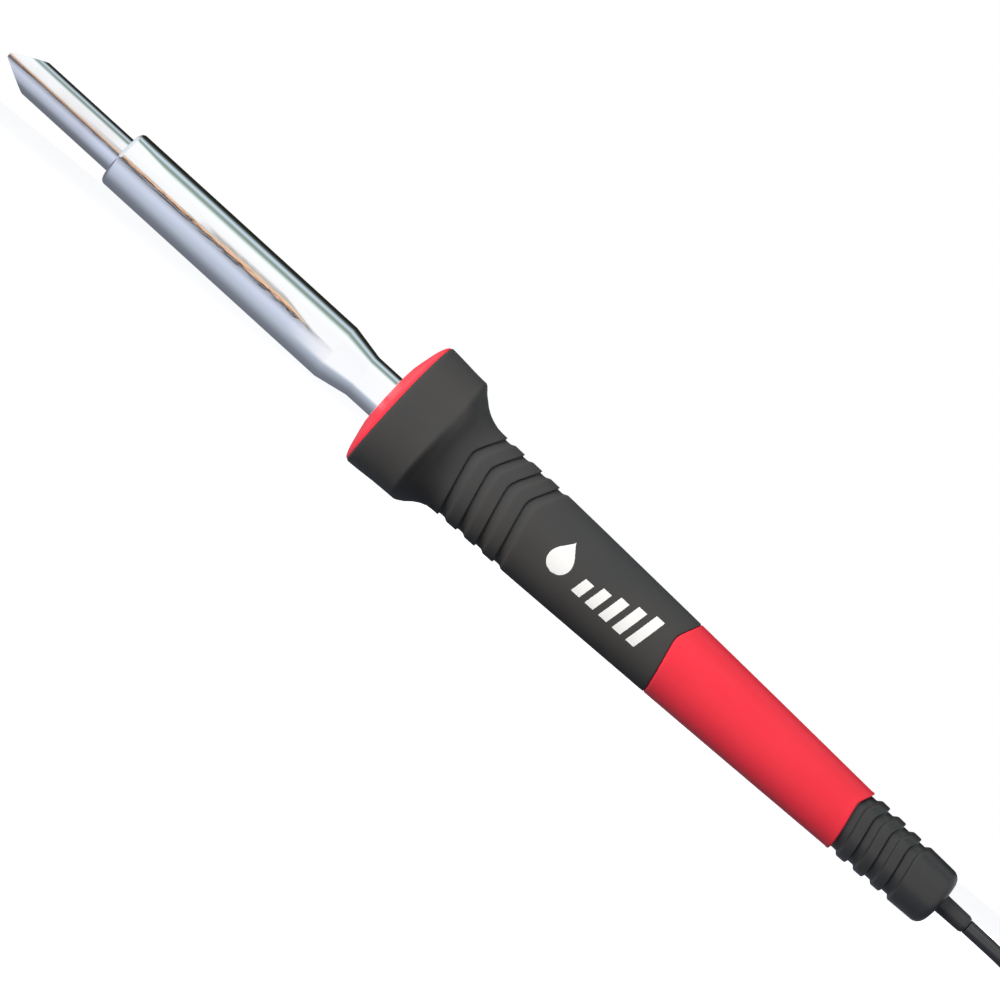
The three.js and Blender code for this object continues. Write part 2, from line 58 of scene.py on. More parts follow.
# The handle's outer form: station, corner radius of the rounded triangle, offset of its corners
FLANGE_CORNER = 14.78
FLANGE_OFFSET = 3.93
HANDLE = [
    (-4, FLANGE_CORNER, FLANGE_OFFSET),
    (0, FLANGE_CORNER, FLANGE_OFFSET),
    (12, 14.125, FLANGE_OFFSET),
    (13.2, 14.65, 2.5),
    (14.3, 14.75, 1.2),
    (15.7, 14, 0.7),
    (17.3, 13.15, 0.4),
    (19, 12.55, 0.2),
    (21, 12.1, 0.05),
    (22.6, 12, 0),
    (46.2, 11.5, 0),
    (67, 10.88, 0),
    (86.6, 10.27, 0),
    (108.5, 9.53, 0),
    (142.3, 8.3, 0),
]
GRIP_WALL = 1.9
GAP = 0.3

# The shoulder sits further back on the flat that the flange rests on: station, share of the drift
FLAT_DRIFT = 1.5
DRIFT = [(8, 0), (12, 1), (16, 0.9), (21, 0)]

# How far the moulded lines are swept back above and below their foremost point: station, upper and lower
# slope. The foremost point lies a little above the middle of the side.
SWEEP = [
    (15, 0, 0),
    (20.4, 0.54, 0.245),
    (38, 0.54, 0.245),
    (84, 0.55, 0.25),
    (140, 0.64, 0.235),
    (158, 0.6, 0.22),
    (165, 0, 0),
]
SWEEP_CREST = 4.3
SWEEP_SOFTNESS = 1.3


# Outlines
def blend_at(stations, x, column):
    """Monotone cubic through the stations' values in one column."""
    xs = [row[0] for row in stations]
    ys = [row[column] for row in stations]
    if x <= xs[0]:
        return ys[0]
    if x >= xs[-1]:
        return ys[-1]
    slopes = [(ys[i + 1] - ys[i]) / (xs[i + 1] - xs[i]) for i in range(len(xs) - 1)]

    def tangent(i):
        if i == 0 or i == len(xs) - 1:
            return slopes[0] if i == 0 else slopes[-1]
        before, after = slopes[i - 1], slopes[i]
        return 2 * before * after / (before + after) if before * after > 0 else 0.0

    i = max(k for k in range(len(xs) - 1) if xs[k] <= x)
    width = xs[i + 1] - xs[i]
    t = (x - xs[i]) / width
    return (
        ys[i] * (1 + 2 * t) * (1 - t) ** 2
        + ys[i + 1] * t * t * (3 - 2 * t)
        + width * (tangent(i) * t * (1 - t) ** 2 - tangent(i + 1) * t * t * (1 - t))
    )


def outline_radius(angle, corner_radius, corner_offset):
    """Radius of a round-cornered triangle in one direction, its first corner up."""
    third = 2 * math.pi / 3
    from_corner = abs((angle - math.pi / 2 + third / 2) % third - third / 2)
    flat_start = math.atan2(
        corner_radius * math.sin(third / 2), corner_offset + corner_radius * math.cos(third / 2)
    )
    if from_corner > flat_start:
        return (corner_offset / 2 + corner_radius) / math.cos(third / 2 - from_corner)
    sideways = corner_offset * math.sin(from_corner)
    return corner_offset * math.cos(from_corner) + math.sqrt(corner_radius**2 - sideways**2)


def handle_radius(x, angle, inset=0.0):
    """The handle's outer radius at a station in one direction, less an inset."""
    x -= FLAT_DRIFT * blend_at(DRIFT, x, 1) * max(0.0, -math.sin(angle)) ** 4
    return outline_radius(angle, blend_at(HANDLE, x, 1) - inset, blend_at(HANDLE, x, 2))


def sweep(station, z):
    """How far back a moulded line that starts at this station lies at height z."""
    upper, lower = blend_at(SWEEP, station, 1), blend_at(SWEEP, station, 2)
    d = z - SWEEP_CREST
    soft = math.sqrt(d * d + SWEEP_SOFTNESS**2) - SWEEP_SOFTNESS
    return 0.5 * ((upper - lower) * d + (upper + lower) * soft)


def set_back(angle):
    """The flange's front plane leans back a little toward the upper corner."""
    least, at_the_corner = 0.18, 0.6
    return least + at_the_corner * max(0.0, math.sin(angle)) ** 4


def turn(i, count=ROUND):
    return 2 * math.pi * i / count


# Meshes
def finish_mesh(name, bm, place=IRON, sharp=CREASE):
    """A smooth-shaded object from a bmesh in millimetres, with its edges kept where they turn sharply."""
    bmesh.ops.recalc_face_normals(bm, faces=bm.faces)
    mesh = bpy.data.meshes.new(name)
    bm.to_mesh(mesh)
    bm.free()
    mesh.transform(place)
    mesh.polygons.foreach_set("use_smooth", [True] * len(mesh.polygons))
    mesh.set_sharp_from_angle(angle=sharp)
    piece = bpy.data.objects.new(name, mesh)
    bpy.context.scene.collection.objects.link(piece)
    return piece


def skin(name, rings, closed=False, place=IRON, sharp=CREASE):
    """A surface through rings of points. If closed, the last ring joins the first; else both are capped."""
    bm = bmesh.new()
    rows = [[bm.verts.new(point) for point in ring] for ring in rings]
    pairs = list(zip(rows, rows[1:]))
    if closed:
        pairs.append((rows[-1], rows[0]))
    for a, b in pairs:
        for i in range(len(a)):
            j = (i + 1) % len(a)
            bm.faces.new((a[i], a[j], b[j], b[i]))
    if not closed:
        bm.faces.new(rows[0])
        bm.faces.new(rows[-1])
    return finish_mesh(name, bm, place, sharp)


def circle(x, radius, count=ROUND):
    angles = [turn(i, count) for i in range(count)]
    return [(x, radius * math.cos(angle), radius * math.sin(angle)) for angle in angles]


def rounded(corners, steps=5):
    """An outline of (x, radius, fillet) corners with each corner's fillet as an arc."""
    points = []
    for k, (x, r, fillet) in enumerate(corners):
        here = Vector((x, r))
        before = Vector(corners[k - 1][:2]) - here
        after = Vector(corners[(k + 1) % len(corners)][:2]) - here
        if fillet <= 0:
            points.append((x, r))
            continue
        half = before.angle(after) / 2
        reach = min(fillet / math.tan(half), before.length * 0.48, after.length * 0.48)
        radius = reach * math.tan(half)
        centre = here + (before.normalized() + after.normalized()).normalized() * (radius / math.sin(half))
        first = here + before.normalized() * reach - centre
        last = here + after.normalized() * reach - centre
        for step in range(steps + 1):
            share = step / steps
            arm = (first * (1 - share) + last * share).normalized() * radius
            points.append(tuple(centre + arm))
    return points


def turned(name, corners, count=ROUND, steps=5, place=IRON, sharp=CREASE):
    """A ring turned about the iron's axis from a closed outline."""
    return skin(name, [circle(x, r, count) for x, r in rounded(corners, steps)], True, place, sharp)


def turned_solid(name, corners, count=ROUND, steps=5, place=IRON):
    """A solid turned about the axis: an open outline whose two ends are capped."""
    inner = [(corners[0][0], 0.0, 0), *corners, (corners[-1][0], 0.0, 0)]
    outline = rounded(inner, steps)[1:-1]
    return skin(name, [circle(x, r, count) for x, r in outline], False, place)


def cut(piece, cutter):
    """Takes the cutter out of the piece, once and for all."""
    modifier = piece.modifiers.new("cut", "BOOLEAN")
    modifier.object = cutter
    modifier.solver = "EXACT"
    graph = bpy.context.evaluated_depsgraph_get()
    mesh = bpy.data.meshes.new_from_object(piece.evaluated_get(graph))
    piece.modifiers.clear()
    piece.data = mesh
    bpy.data.objects.remove(cutter)
    mesh.polygons.foreach_set("use_smooth", [True] * len(mesh.polygons))
    mesh.set_sharp_from_angle(angle=CREASE)


QUARTER_TURN = Matrix.Rotation(math.pi / 2, 4, "Z")


def along_y(x, y):
    """Places a piece that was turned about X so that it stands along the iron's Y."""
    return IRON @ Matrix.Translation((x, y, 0)) @ QUARTER_TURN


# Node trees
class Wires:
    """Short ways to add nodes to a tree. A value is a number or a colour, or the output of another node."""

    def __init__(self, tree):
        self.tree = tree

    def feed(self, value, socket):
        if isinstance(value, bpy.types.NodeSocket):
            self.tree.links.new(value, socket)
        else:
            socket.default_value = value

    def node(self, kind, **values):
        node = self.tree.nodes.new("ShaderNode" + kind)
        for name, value in values.items():
            self.feed(value, node.inputs[name.replace("_", " ")])
        return node

    def math(self, operation, first, second):
        node = self.node("Math")
        node.operation = operation
        self.feed(first, node.inputs[0])
        self.feed(second, node.inputs[1])
        return node.outputs[0]

    def spread(self, value, start, end, low, high, clamp=True):
        """Carries the range from start to end over to the range from low to high."""
        node = self.node("MapRange", Value=value, From_Min=start, From_Max=end, To_Min=low, To_Max=high)
        node.clamp = clamp
        return node.outputs["Result"]

    def clouds(self, place, scale, detail, stretch=(1, 1, 1)):
        """Noise at a place; stretch scales it along X, Y and Z."""
        spot = self.node("Mapping", Vector=place, Scale=stretch).outputs["Vector"]
        return self.node("TexNoise", Vector=spot, Scale=scale, Detail=detail).outputs["Fac"]

    def ramp(self, value, stops):
        """Colours between (place, colour) stops."""
        start, end = stops[0][0], stops[-1][0]
        node = self.node("ValToRGB", Fac=self.spread(value, start, end, 0, 1))
        elements = node.color_ramp.elements
        elements.remove(elements[1])
        for index, (place, color) in enumerate(stops):
            share = (place - start) / (end - start)
            element = elements.new(share) if index else elements[0]
            element.position, element.color = share, (*color, 1)
        return node.outputs["Color"]

    def mix_color(self, factor, first, second):
        node = self.node("Mix")
        node.data_type = "RGBA"
        for name, value in (("Factor", factor), ("A", first), ("B", second)):
            self.feed(value, node.inputs[name])
        return node.outputs["Result"]

    def join(self, kind, first, second, factor=None):
        """One shader from two: added, or mixed by a factor."""
        node = self.node(kind) if factor is None else self.node(kind, Fac=factor)
        self.feed(first.outputs[0], node.inputs[-2])
        self.feed(second.outputs[0], node.inputs[-1])
        return node


class Look(Wires):
    """A principled material with small helpers to wire noise into it."""

    def __init__(self, name, color, roughness, metallic=0.0, **sockets):
        self.material = bpy.data.materials.new(name)
        self.material.use_nodes = True
        super().__init__(self.material.node_tree)
        self.shader = self.tree.nodes["Principled BSDF"]
        self.color = (*color, 1)
        self.set(Base_Color=self.color, Roughness=roughness, Metallic=metallic, **sockets)
        self.place = self.node("TexCoord").outputs["Object"]

    def set(self, **sockets):
        for name, value in sockets.items():
            self.feed(value, self.shader.inputs[name.replace("_", " ")])

    def noise(self, per_mm, detail=3.0, stretch=(1, 1, 1)):
        """Noise with so many features per millimetre."""
        return self.clouds(self.place, per_mm / MM, detail, stretch)

    def vary_roughness(self, source, low, high):
        self.set(Roughness=self.spread(source, 0.3, 0.7, low, high))

    def vary_color(self, source, other):
        self.set(Base_Color=self.mix_color(self.spread(source, 0.35, 0.65, 0, 1), self.color, (*other, 1)))

    def bump(self, *layers):
        """Bump from (source, height in millimetres) layers."""
        normal = None
        for source, height in layers:
            node = self.node("Bump", Height=source, Distance=height * MM)
            if normal is not None:
                self.feed(normal, node.inputs["Normal"])
            normal = node.outputs["Normal"]
        self.set(Normal=normal)

    def glow(self, color, strength):
        """Emission, a light of its own. On the red plastic and the print it is painted light that brightens their
        colour; neither is a lamp.
        """
        self.set(Emission_Color=(*color, 1), Emission_Strength=strength)


def polished_metal(name, color, low, high, waviness):
    look = Look(name, color, low, 1.0)
    look.vary_roughness(look.noise(0.9, 4, (0.12, 1, 1)), low, high)
    look.vary_color(look.noise(0.05, 2, (0.4, 1, 1)), tuple(c * 0.93 for c in color))
    look.bump((look.noise(0.16, 1, (0.5, 1, 1)), waviness), (look.noise(3.0, 2, (0.05, 1, 1)), 0.0009))
    return look.material


def tip_plating():
    look = Look("tip_plating", (0.86, 0.87, 0.9), 0.1, 1.0)
    look.vary_roughness(look.noise(1.1, 4, (0.15, 1, 1)), 0.04, 0.1)
    look.vary_color(look.noise(0.14, 3, (0.5, 1, 1)), (0.78, 0.77, 0.78))
    look.bump((look.noise(0.2, 1, (0.4, 1, 1)), 0.006), (look.noise(3.0, 2, (0.05, 1, 1)), 0.0008))
    return look.material


def moulded(name, color, other, low, high, grain, specular, glow=None):
    """Moulded plastic or rubber: a fine skin, a little unevenness in gloss and colour."""
    look = Look(name, color, low, Specular_IOR_Level=specular)
    look.vary_roughness(look.noise(0.22, 4), low, high)
    look.vary_color(look.noise(0.07, 3, (0.5, 1, 1)), other)
    look.bump(
        (look.noise(0.1, 2), grain * 4),
        (look.noise(2.6, 2), grain * 0.6),
        (look.noise(7.0, 1), grain * 0.3),
    )
    if glow:
        look.glow(*glow)
    return look.material


def clear_plastic():
    look = Look("clear_plastic", (0.95, 0.78, 0.82), 0.2, Transmission_Weight=0.55, IOR=1.49)
    look.glow((1, 0.62, 0.74), 0.42)
    look.vary_roughness(look.noise(0.8), 0.14, 0.3)
    look.bump((look.noise(1.5, 1), 0.01))
    return look.material


def simple(name, color, roughness, metallic, fleck, glow=None):
    """An even finish with small flecks, darker or lighter by the fleck's share."""
    look = Look(name, color, roughness, metallic)
    look.vary_roughness(look.noise(0.8, 3), roughness * 0.8, min(1, roughness * 1.25))
    look.vary_color(look.noise(0.5, 3), tuple(c * fleck for c in color))
    look.bump((look.noise(4, 2), 0.004))
    if glow:
        look.glow(*glow)
    return look.material


BLACK_RUBBER = moulded("grip_rubber", (0.065, 0.066, 0.068), (0.075, 0.072, 0.07), 0.5, 0.62, 0.008, 0.12)
BOOT_RUBBER = moulded("boot_rubber", (0.034, 0.034, 0.036), (0.041, 0.039, 0.037), 0.28, 0.38, 0.01, 0.4)
CORD_RUBBER = moulded("cord_rubber", (0.016, 0.017, 0.02), (0.024, 0.021, 0.018), 0.14, 0.22, 0.004, 0.7)
# The red plastic's emission is painted light: it brightens the red all over, its shaded parts too, though the
# plastic is no lamp.
RED_PLASTIC = moulded("red_plastic", (0.92, 0.04, 0.062), (0.95, 0.046, 0.07), 0.36, 0.46, 0.005, 0.25,
                      ((1, 0.05, 0.11), 0.09))
CHROME = polished_metal("barrel_chrome", (0.9, 0.905, 0.92), 0.012, 0.035, 0.014)
TIP = tip_plating()
CLEAR = clear_plastic()
# The print's emission is painted light that brightens the white ink; the ink is no lamp.
WHITE_PRINT = simple("white_print", (0.93, 0.93, 0.93), 0.5, 0, 0.98, ((1, 1, 1), 0.15))
STEEL = simple("steel_hardware", (0.58, 0.59, 0.6), 0.32, 1, 0.85)
BLADE = simple("blade_metal", (0.86, 0.8, 0.66), 0.22, 1, 0.92)
TIE = simple("tie_plastic", (0.03, 0.03, 0.032), 0.5, 0, 0.85)
INNER_LOOKS = {
    "steel_hardware": STEEL,
    "heater_wire": simple("heater_wire", (0.42, 0.37, 0.32), 0.45, 1, 0.7),
    "mica": simple("mica", (0.55, 0.47, 0.33), 0.5, 0, 0.75),
    "ceramic": simple("ceramic", (0.85, 0.83, 0.77), 0.6, 0, 0.93),
    "lead_insulation": simple("lead_insulation", (0.8, 0.78, 0.7), 0.55, 0, 0.9),
    "circuit_board": simple("circuit_board", (0.03, 0.17, 0.07), 0.4, 0, 0.8),
    "led_package": simple("led_package", (0.9, 0.85, 0.5), 0.3, 0, 0.9),
    "clear_plastic": CLEAR,
    "red_plastic": RED_PLASTIC,
    "grip_rubber": BLACK_RUBBER,
    "boot_rubber": BOOT_RUBBER,
    "cord_rubber": CORD_RUBBER,
    "tie_plastic": TIE,
    "blade_metal": BLADE,
    "barrel_steel": CHROME,
    "tip_plating": TIP,
}


def fit(piece, material, slot, body, *nodes):
    """Gives a piece its finish and its body, and hides the CAD nodes that it stands for."""
    piece.data.materials.clear()
    piece.data.materials.append(material)
    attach(piece, body)
    if nodes:
        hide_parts(*nodes)
    return piece


# Camera: level with the iron, looking along +Y, rolled so that the iron hangs down to the right. It looks at
# a station on the axis, from this distance and across this width in metres, a little above the axis.
VIEW_STATION = 32.5
VIEW_WIDTH = 0.2309
CAMERA_DISTANCE = 0.9
VIEW_RAISED = 0.2
ROLL = math.radians(39.19)


def make_camera():
    data = bpy.data.cameras.new("camera")
    data.sensor_width = 36
    data.lens = data.sensor_width * CAMERA_DISTANCE / VIEW_WIDTH
    data.clip_start, data.clip_end = 0.05, 50
    camera = bpy.data.objects.new("camera", data)
    bpy.context.scene.collection.objects.link(camera)
    right = Vector((math.cos(ROLL), 0, math.sin(ROLL)))
    up = Vector((-math.sin(ROLL), 0, math.cos(ROLL)))
    back = Vector((0, -1, 0))
    target = IRON @ Vector((VIEW_STATION, 0, VIEW_RAISED))
    turn_matrix = Matrix((right, up, back)).transposed().to_4x4()
    camera.matrix_world = Matrix.Translation(target + back * CAMERA_DISTANCE) @ turn_matrix
    bpy.context.scene.camera = camera


make_camera()

# The cord, in the part's own frame, millimetres: out of the boot, three turns out to in, three turns back
# out on top of them, and a lead over the hank to the plug
CORD_RADIUS = 1.83
RUN_POINTS = [
    (149.4, 0, 6.95),
    (154, 0, 6.7),
    (159.5, 0, 6.35),
    (165, 0.4, 5.8),
    (171, 1.85, 5),
    (177.5, 4.9, 4),
    (183.1, 9.2, 3.2),
    (187.3, 12.9, 2.85),
    (191.5, 15.6, 2.75),
    (198, 17.8, 2.73),
]
LEAD_POINTS = [
    (228, -18.4, 7.4),
    (218, -18.4, 9.6),
    (206.2, -18.4, 10.45),
    (195.4, -13.9, 10.45),
    (191, -3.2, 10.45),
    (195.4, 7.5, 10.45),
    (206.2, 12, 10.6),
    (218, 12, 10.8),
    (228, 12, 11.3),
    (236, 12, 12.2),
    (242, 12, 13.5),
    (247.5, 12, 14.2),
]
HANK_NEAR = 206.2
HANK_RUN = 70
HANK_RADII = (18.4, 14.74, 11.08)
HANK_LAYERS = (2.73, 6.39)


def smooth_path(points):
    """Centripetal curve through given points."""
    steps = 8
    points = [Vector(p) for p in points]
    ends = [2 * points[0] - points[1], *points, 2 * points[-1] - points[-2]]
    path = []
    for p0, p1, p2, p3 in zip(ends, ends[1:], ends[2:], ends[3:]):
        d1, d2, d3 = (math.sqrt((b - a).length) for a, b in ((p0, p1), (p1, p2), (p2, p3)))
        m1 = (p1 - p0) / d1 - (p2 - p0) / (d1 + d2) + (p2 - p1) / d2
        m2 = (p2 - p1) / d2 - (p3 - p1) / (d2 + d3) + (p3 - p2) / d3
        for k in range(steps):
            t = k / steps
            path.append(
                p1 * (1 + 2 * t) * (1 - t) ** 2
                + p2 * t * t * (3 - 2 * t)
                + d2 * (m1 * t * (1 - t) ** 2 - m2 * t * t * (1 - t))
            )
    return [*path, points[-1]]


def hank_turns():
    """Three turns inwards on the lower layer and three outwards on the upper one."""
    far = HANK_NEAR + HANK_RUN
    turns = [(radius, HANK_LAYERS[0]) for radius in HANK_RADII]
    turns += [(radius, HANK_LAYERS[1]) for radius in reversed(HANK_RADII)]
    loop_steps, run_steps = 20, 12
    path = []
    for number, (radius, height) in enumerate(turns):
        for k in range(run_steps):
            path.append(Vector((HANK_NEAR + HANK_RUN * k / run_steps, radius, height)))
        for k in range(loop_steps):
            angle = math.pi / 2 - math.pi * k / loop_steps
            path.append(Vector((far + radius * math.cos(angle), radius * math.sin(angle), height)))
        last = number == len(turns) - 1
        stretch = (far - LEAD_POINTS[0][0]) / HANK_RUN if last else 1
        for k in range(run_steps if not last else int(run_steps * stretch)):
            path.append(Vector((far - HANK_RUN * k / run_steps, -radius, height)))
        if last:
            break
        next_radius, next_height = turns[number + 1]
        for k in range(loop_steps):
            share = k / loop_steps
            ease = share * share * (3 - 2 * share)
            angle = -math.pi / 2 - math.pi * share
            here = radius + (next_radius - radius) * ease
            rise = height + (next_height - height) * ease
            path.append(Vector((HANK_NEAR + here * math.cos(angle), here * math.sin(angle), rise)))
    return path


def make_cord():
    path = smooth_path(RUN_POINTS)[:-1] + hank_turns() + smooth_path(LEAD_POINTS)
    data = bpy.data.curves.new("mains_cord", "CURVE")
    data.dimensions = "3D"
    spline = data.splines.new("POLY")
    spline.points.add(len(path) - 1)
    for point, place in zip(spline.points, path):
        point.co = (*(place * MM), 1)
    data.bevel_depth = CORD_RADIUS * MM
    data.bevel_resolution = 8
    data.use_fill_caps = True
    data.twist_mode = "MINIMUM"
    cord = bpy.data.objects.new("mains_cord", data)
    bpy.context.scene.collection.objects.link(cord)
    fit(cord, CORD_RUBBER, "cord_rubber", "root", "cord_run", "cord_lead", "cord_hank")
    return cord


mains_cord = make_cord()

# Plug, its boot and the tie, in the part's own frame
PLUG_Y = 12
PLUG_Z = 14.2
ROW = Matrix.Scale(MM, 4)


def rounded_box(name, x, y, z, radius, steps, taper=0.0):
    """A box between two corners with round edges; taper narrows its low-x end."""
    bm = bmesh.new()
    bmesh.ops.create_cube(bm, size=1)
    for vertex in bm.verts:
        low = vertex.co.x < 0
        vertex.co.x = x[0] if low else x[1]
        for axis, (a, b) in ((1, y), (2, z)):
            inward = taper if low else 0
            vertex.co[axis] = a + inward if vertex.co[axis] < 0 else b - inward
    bmesh.ops.bevel(
        bm, geom=bm.edges, offset=radius, segments=steps, profile=0.5, affect="EDGES", clamp_overlap=True
    )
    return finish_mesh(name, bm, ROW, math.radians(50))


def around(middle, half):
    return middle - half, middle + half


def make_plug_housing(start, end):
    half_width, half_height = 9, 5.6
    grip_start, grip_pitch, grip_half_width, grip_depth = 6.5, 3, 6, 0.55
    housing = rounded_box("plug_housing", (start, end), around(PLUG_Y, half_width),
                          around(PLUG_Z, half_height), 2.2, 6, taper=1.6)
    for row in range(4):
        x = start + grip_start + row * grip_pitch
        for side in (-1, 1):
            face = PLUG_Z + side * half_height
            cut(housing, rounded_box("groove", (x, x + 1.2), around(PLUG_Y, grip_half_width),
                                     around(face, grip_depth), 0.35, 3))
    return fit(housing, CORD_RUBBER, "cord_rubber", "root", "plug_body")


def make_plug_boot(start, end):
    """A ribbed sleeve that widens from the cord to the plug."""
    bore, first_rib, rib_pitch, widening = 1.95, start + 1.2, 2.45, 0.33
    corners = [(start, bore, 0), (start, 2.4, 0.2)]
    for rib in range(5):
        x = first_rib + rib * rib_pitch
        radius = 2.45 + widening * rib
        corners += [(x, radius, 0.15), (x + 1.55, radius + 0.25, 0.15), (x + 1.6, radius - 0.35, 0.1),
                    (x + 2.4, radius - 0.3, 0.1)]
    corners += [(end - 1, 4.1, 0.2), (end, 4.2, 0), (end, bore, 0)]
    place = ROW @ Matrix.Translation((0, PLUG_Y, PLUG_Z))
    boot = turned("plug_strain_relief", corners, 64, 3, place)
    return fit(boot, CORD_RUBBER, "cord_rubber", "root", "plug_boot")


def make_blades(start, end):
    half_spacing, half_thickness, half_height = 6.35, 0.75, 3.15
    hole_radius, hole_station, hole_reach = 1.5, end - 3.4, 2
    blades = []
    for number, side in ((1, -1), (2, 1)):
        y = PLUG_Y + side * half_spacing
        blade = rounded_box(f"plug_blade_polished_{number}", (start, end), around(y, half_thickness),
                            around(PLUG_Z, half_height), 0.3, 3)
        hole_place = ROW @ Matrix.Translation((hole_station, y, PLUG_Z)) @ QUARTER_TURN
        hole = [(-hole_reach, hole_radius, 0), (hole_reach, hole_radius, 0)]
        cut(blade, turned_solid("hole", hole, 32, 1, hole_place))
        blades.append(fit(blade, BLADE, "blade_metal", "root", f"plug_blade_{number}"))
    return blades


def make_tie():
    """A flat strap round the middle of the hank."""
    middle = HANK_NEAR + HANK_RUN / 2
    half_width, strap_half, thickness, edge = 20.75, 3.6, 0.7, 0.2
    low, high, corner = 0.02, 9.1, 4.2
    corner_steps = 8

    def outline(inset):
        points = []
        for centre_y, centre_z, start in (
            (half_width - corner, high - corner, 0),
            (-half_width + corner, high - corner, 90),
            (-half_width + corner, low + corner, 180),
            (half_width - corner, low + corner, 270),
        ):
            for k in range(corner_steps + 1):
                angle = math.radians(start + 90 * k / corner_steps)
                points.append((centre_y + (corner - inset) * math.cos(angle),
                               centre_z + (corner - inset) * math.sin(angle)))
        return points

    outer, outer_edge = outline(0), outline(edge)
    inner, inner_edge = outline(thickness), outline(thickness - edge)
    section = [(-strap_half, outer_edge), (-strap_half + edge, outer), (strap_half - edge, outer),
               (strap_half, outer_edge), (strap_half, inner_edge), (strap_half - edge, inner),
               (-strap_half + edge, inner), (-strap_half, inner_edge)]
    rings = [[(middle + x, y, z) for y, z in points] for x, points in section]
    return fit(skin("cord_tie", rings, True, ROW), TIE, "tie_plastic", "root", "hank_tie")


plug_pieces = [make_plug_housing(260.3, 286), make_plug_boot(246, 260.4), *make_blades(285.9, 302)]
hank_tie = make_tie()


# Tip: a chisel on a plain shank, worn round at its edges
def make_tip():
    radius, apex, shank_end = 4.76, -119.8, -35
    edge_half, half_angle = 0.6, math.radians(29)
    bm = bmesh.new()
    outline = [(apex, radius), (-108, radius), (-85, radius), (-60, radius), (shank_end - 0.6, radius),
               (shank_end - 0.2, radius - 0.15), (shank_end, radius - 0.6)]
    rows = [[bm.verts.new(point) for point in circle(x, r)] for x, r in outline]
    for a, b in zip(rows, rows[1:]):
        for i in range(ROUND):
            j = (i + 1) % ROUND
            bm.faces.new((a[i], a[j], b[j], b[i]))
    bm.faces.new(rows[0])
    bm.faces.new(rows[-1])
    for side in (-1, 1):
        normal = Vector((-math.sin(half_angle), 0, side * math.cos(half_angle)))
        point = Vector((apex, 0, side * edge_half))
        cut_plane = bmesh.ops.bisect_plane(
            bm, geom=[*bm.verts, *bm.edges, *bm.faces], plane_co=point, plane_no=normal, clear_outer=True
        )
        rim = [e for e in cut_plane["geom_cut"] if isinstance(e, bmesh.types.BMEdge)]
        bmesh.ops.edgeloop_fill(bm, edges=rim)
    tip = finish_mesh("chisel_tip", bm)
    bevel = tip.modifiers.new("worn_edges", "BEVEL")
    bevel.width = 0.3 * MM
    bevel.segments = 4
    bevel.limit_method = "ANGLE"
    bevel.angle_limit = math.radians(20)
    bevel.harden_normals = True
    fit(tip, TIP, "tip_plating", "tip", "tip")


make_tip()

# Barrel with its nose, seat and set screw
BARREL_RADIUS = 7.41
BARREL_BORE = 6.7
NOSE_BORE = 5.06
NOSE = -85.4
SEAT_BACK = -76
SCREW_HOLE = 1.75


def screw_hole():
    return turned_solid("hole", [(-4, SCREW_HOLE, 0), (4, SCREW_HOLE, 0)], 48, 1, along_y(SCREW_STATION, 7))


def make_barrel():
    neck_radius, neck_bore, neck_start, neck_end = 5.77, 4.9, -10.2, 24
    seat_front = NOSE + 0.7
    corners = [
        (NOSE, NOSE_BORE, 0.15),
        (NOSE, BARREL_RADIUS, 1.35),
        (-18.5, BARREL_RADIUS, 1.6),
        (neck_start, neck_radius, 2.2),
        (neck_end, neck_radius, 0.1),
        (neck_end, neck_bore, 0),
        (neck_start, neck_bore, 0),
        (-19.5, BARREL_BORE, 0),
        (seat_front, BARREL_BORE, 0),
        (seat_front, NOSE_BORE, 0.1),
    ]
    barrel = turned("polished_barrel", corners, steps=8, sharp=math.radians(30))
    cut(barrel, screw_hole())
    fit(barrel, CHROME, "barrel_steel", "root", "barrel")


def make_nose_seat():
    front, radius = -84.35, 6.4
    corners = [(front, NOSE_BORE, 0.15), (front, radius, 0), (SEAT_BACK, radius, 0),
               (SEAT_BACK, NOSE_BORE, 0.2)]
    seat = turned("nose_seat", corners, 96)
    cut(seat, screw_hole())
    fit(seat, STEEL, "steel_hardware", "root", "nose_bush")


def make_heater_liner():
    front, back, bore, radius = SEAT_BACK + 0.3, -30, 5.03, 5.28
    corners = [(front, bore, 0.1), (front, radius, 0.1), (back, radius, 0), (back, bore, 0)]
    fit(turned("heater_liner", corners, 96), STEEL, "steel_hardware", "root", "heater_tube")


def make_set_screw():
    """A short threaded screw with a hexagon socket."""
    point, top = 5.15, 7.3
    radius, root, pitch, socket = 1.5, 1.32, 0.5, 0.87
    profile = [(point, 1.2, 0.1), (point + 0.35, radius, 0.05)]
    for thread in range(3):
        x = point + 0.45 + thread * pitch
        profile += [(x, radius, 0), (x + pitch / 2, root, 0)]
    profile += [(top - 0.2, radius, 0.05), (top, radius - 0.15, 0.05)]
    screw = turned_solid("socket_set_screw", profile, 48, 2, along_y(SCREW_STATION, 0))
    cut(screw, turned_solid("hexagon", [(6.1, socket, 0), (8, socket, 0)], 6, 1, along_y(SCREW_STATION, 0)))
    fit(screw, STEEL, "steel_hardware", "set_screw", "set_screw")


make_barrel()
make_nose_seat()
make_heater_liner()
make_set_screw()


# Handle
def handle_ring(station, inset=0.0, drop=0.0, swept=True):
    """One ring of the handle's skin. Its line is swept back above and below its foremost point."""
    ring = []
    for i in range(ROUND):
        angle = turn(i)
        x = station
        for _ in range(3 if swept else 1):
            radius = handle_radius(x, angle, inset) - drop
            x = station + (sweep(station, radius * math.sin(angle)) if swept else 0)
        ring.append((x, radius * math.cos(angle), radius * math.sin(angle)))
    return ring


def leaning(ring):
    """A ring leant back with the flange's front."""
    return [(x + set_back(turn(i)), y, z) for i, (x, y, z) in enumerate(ring)]


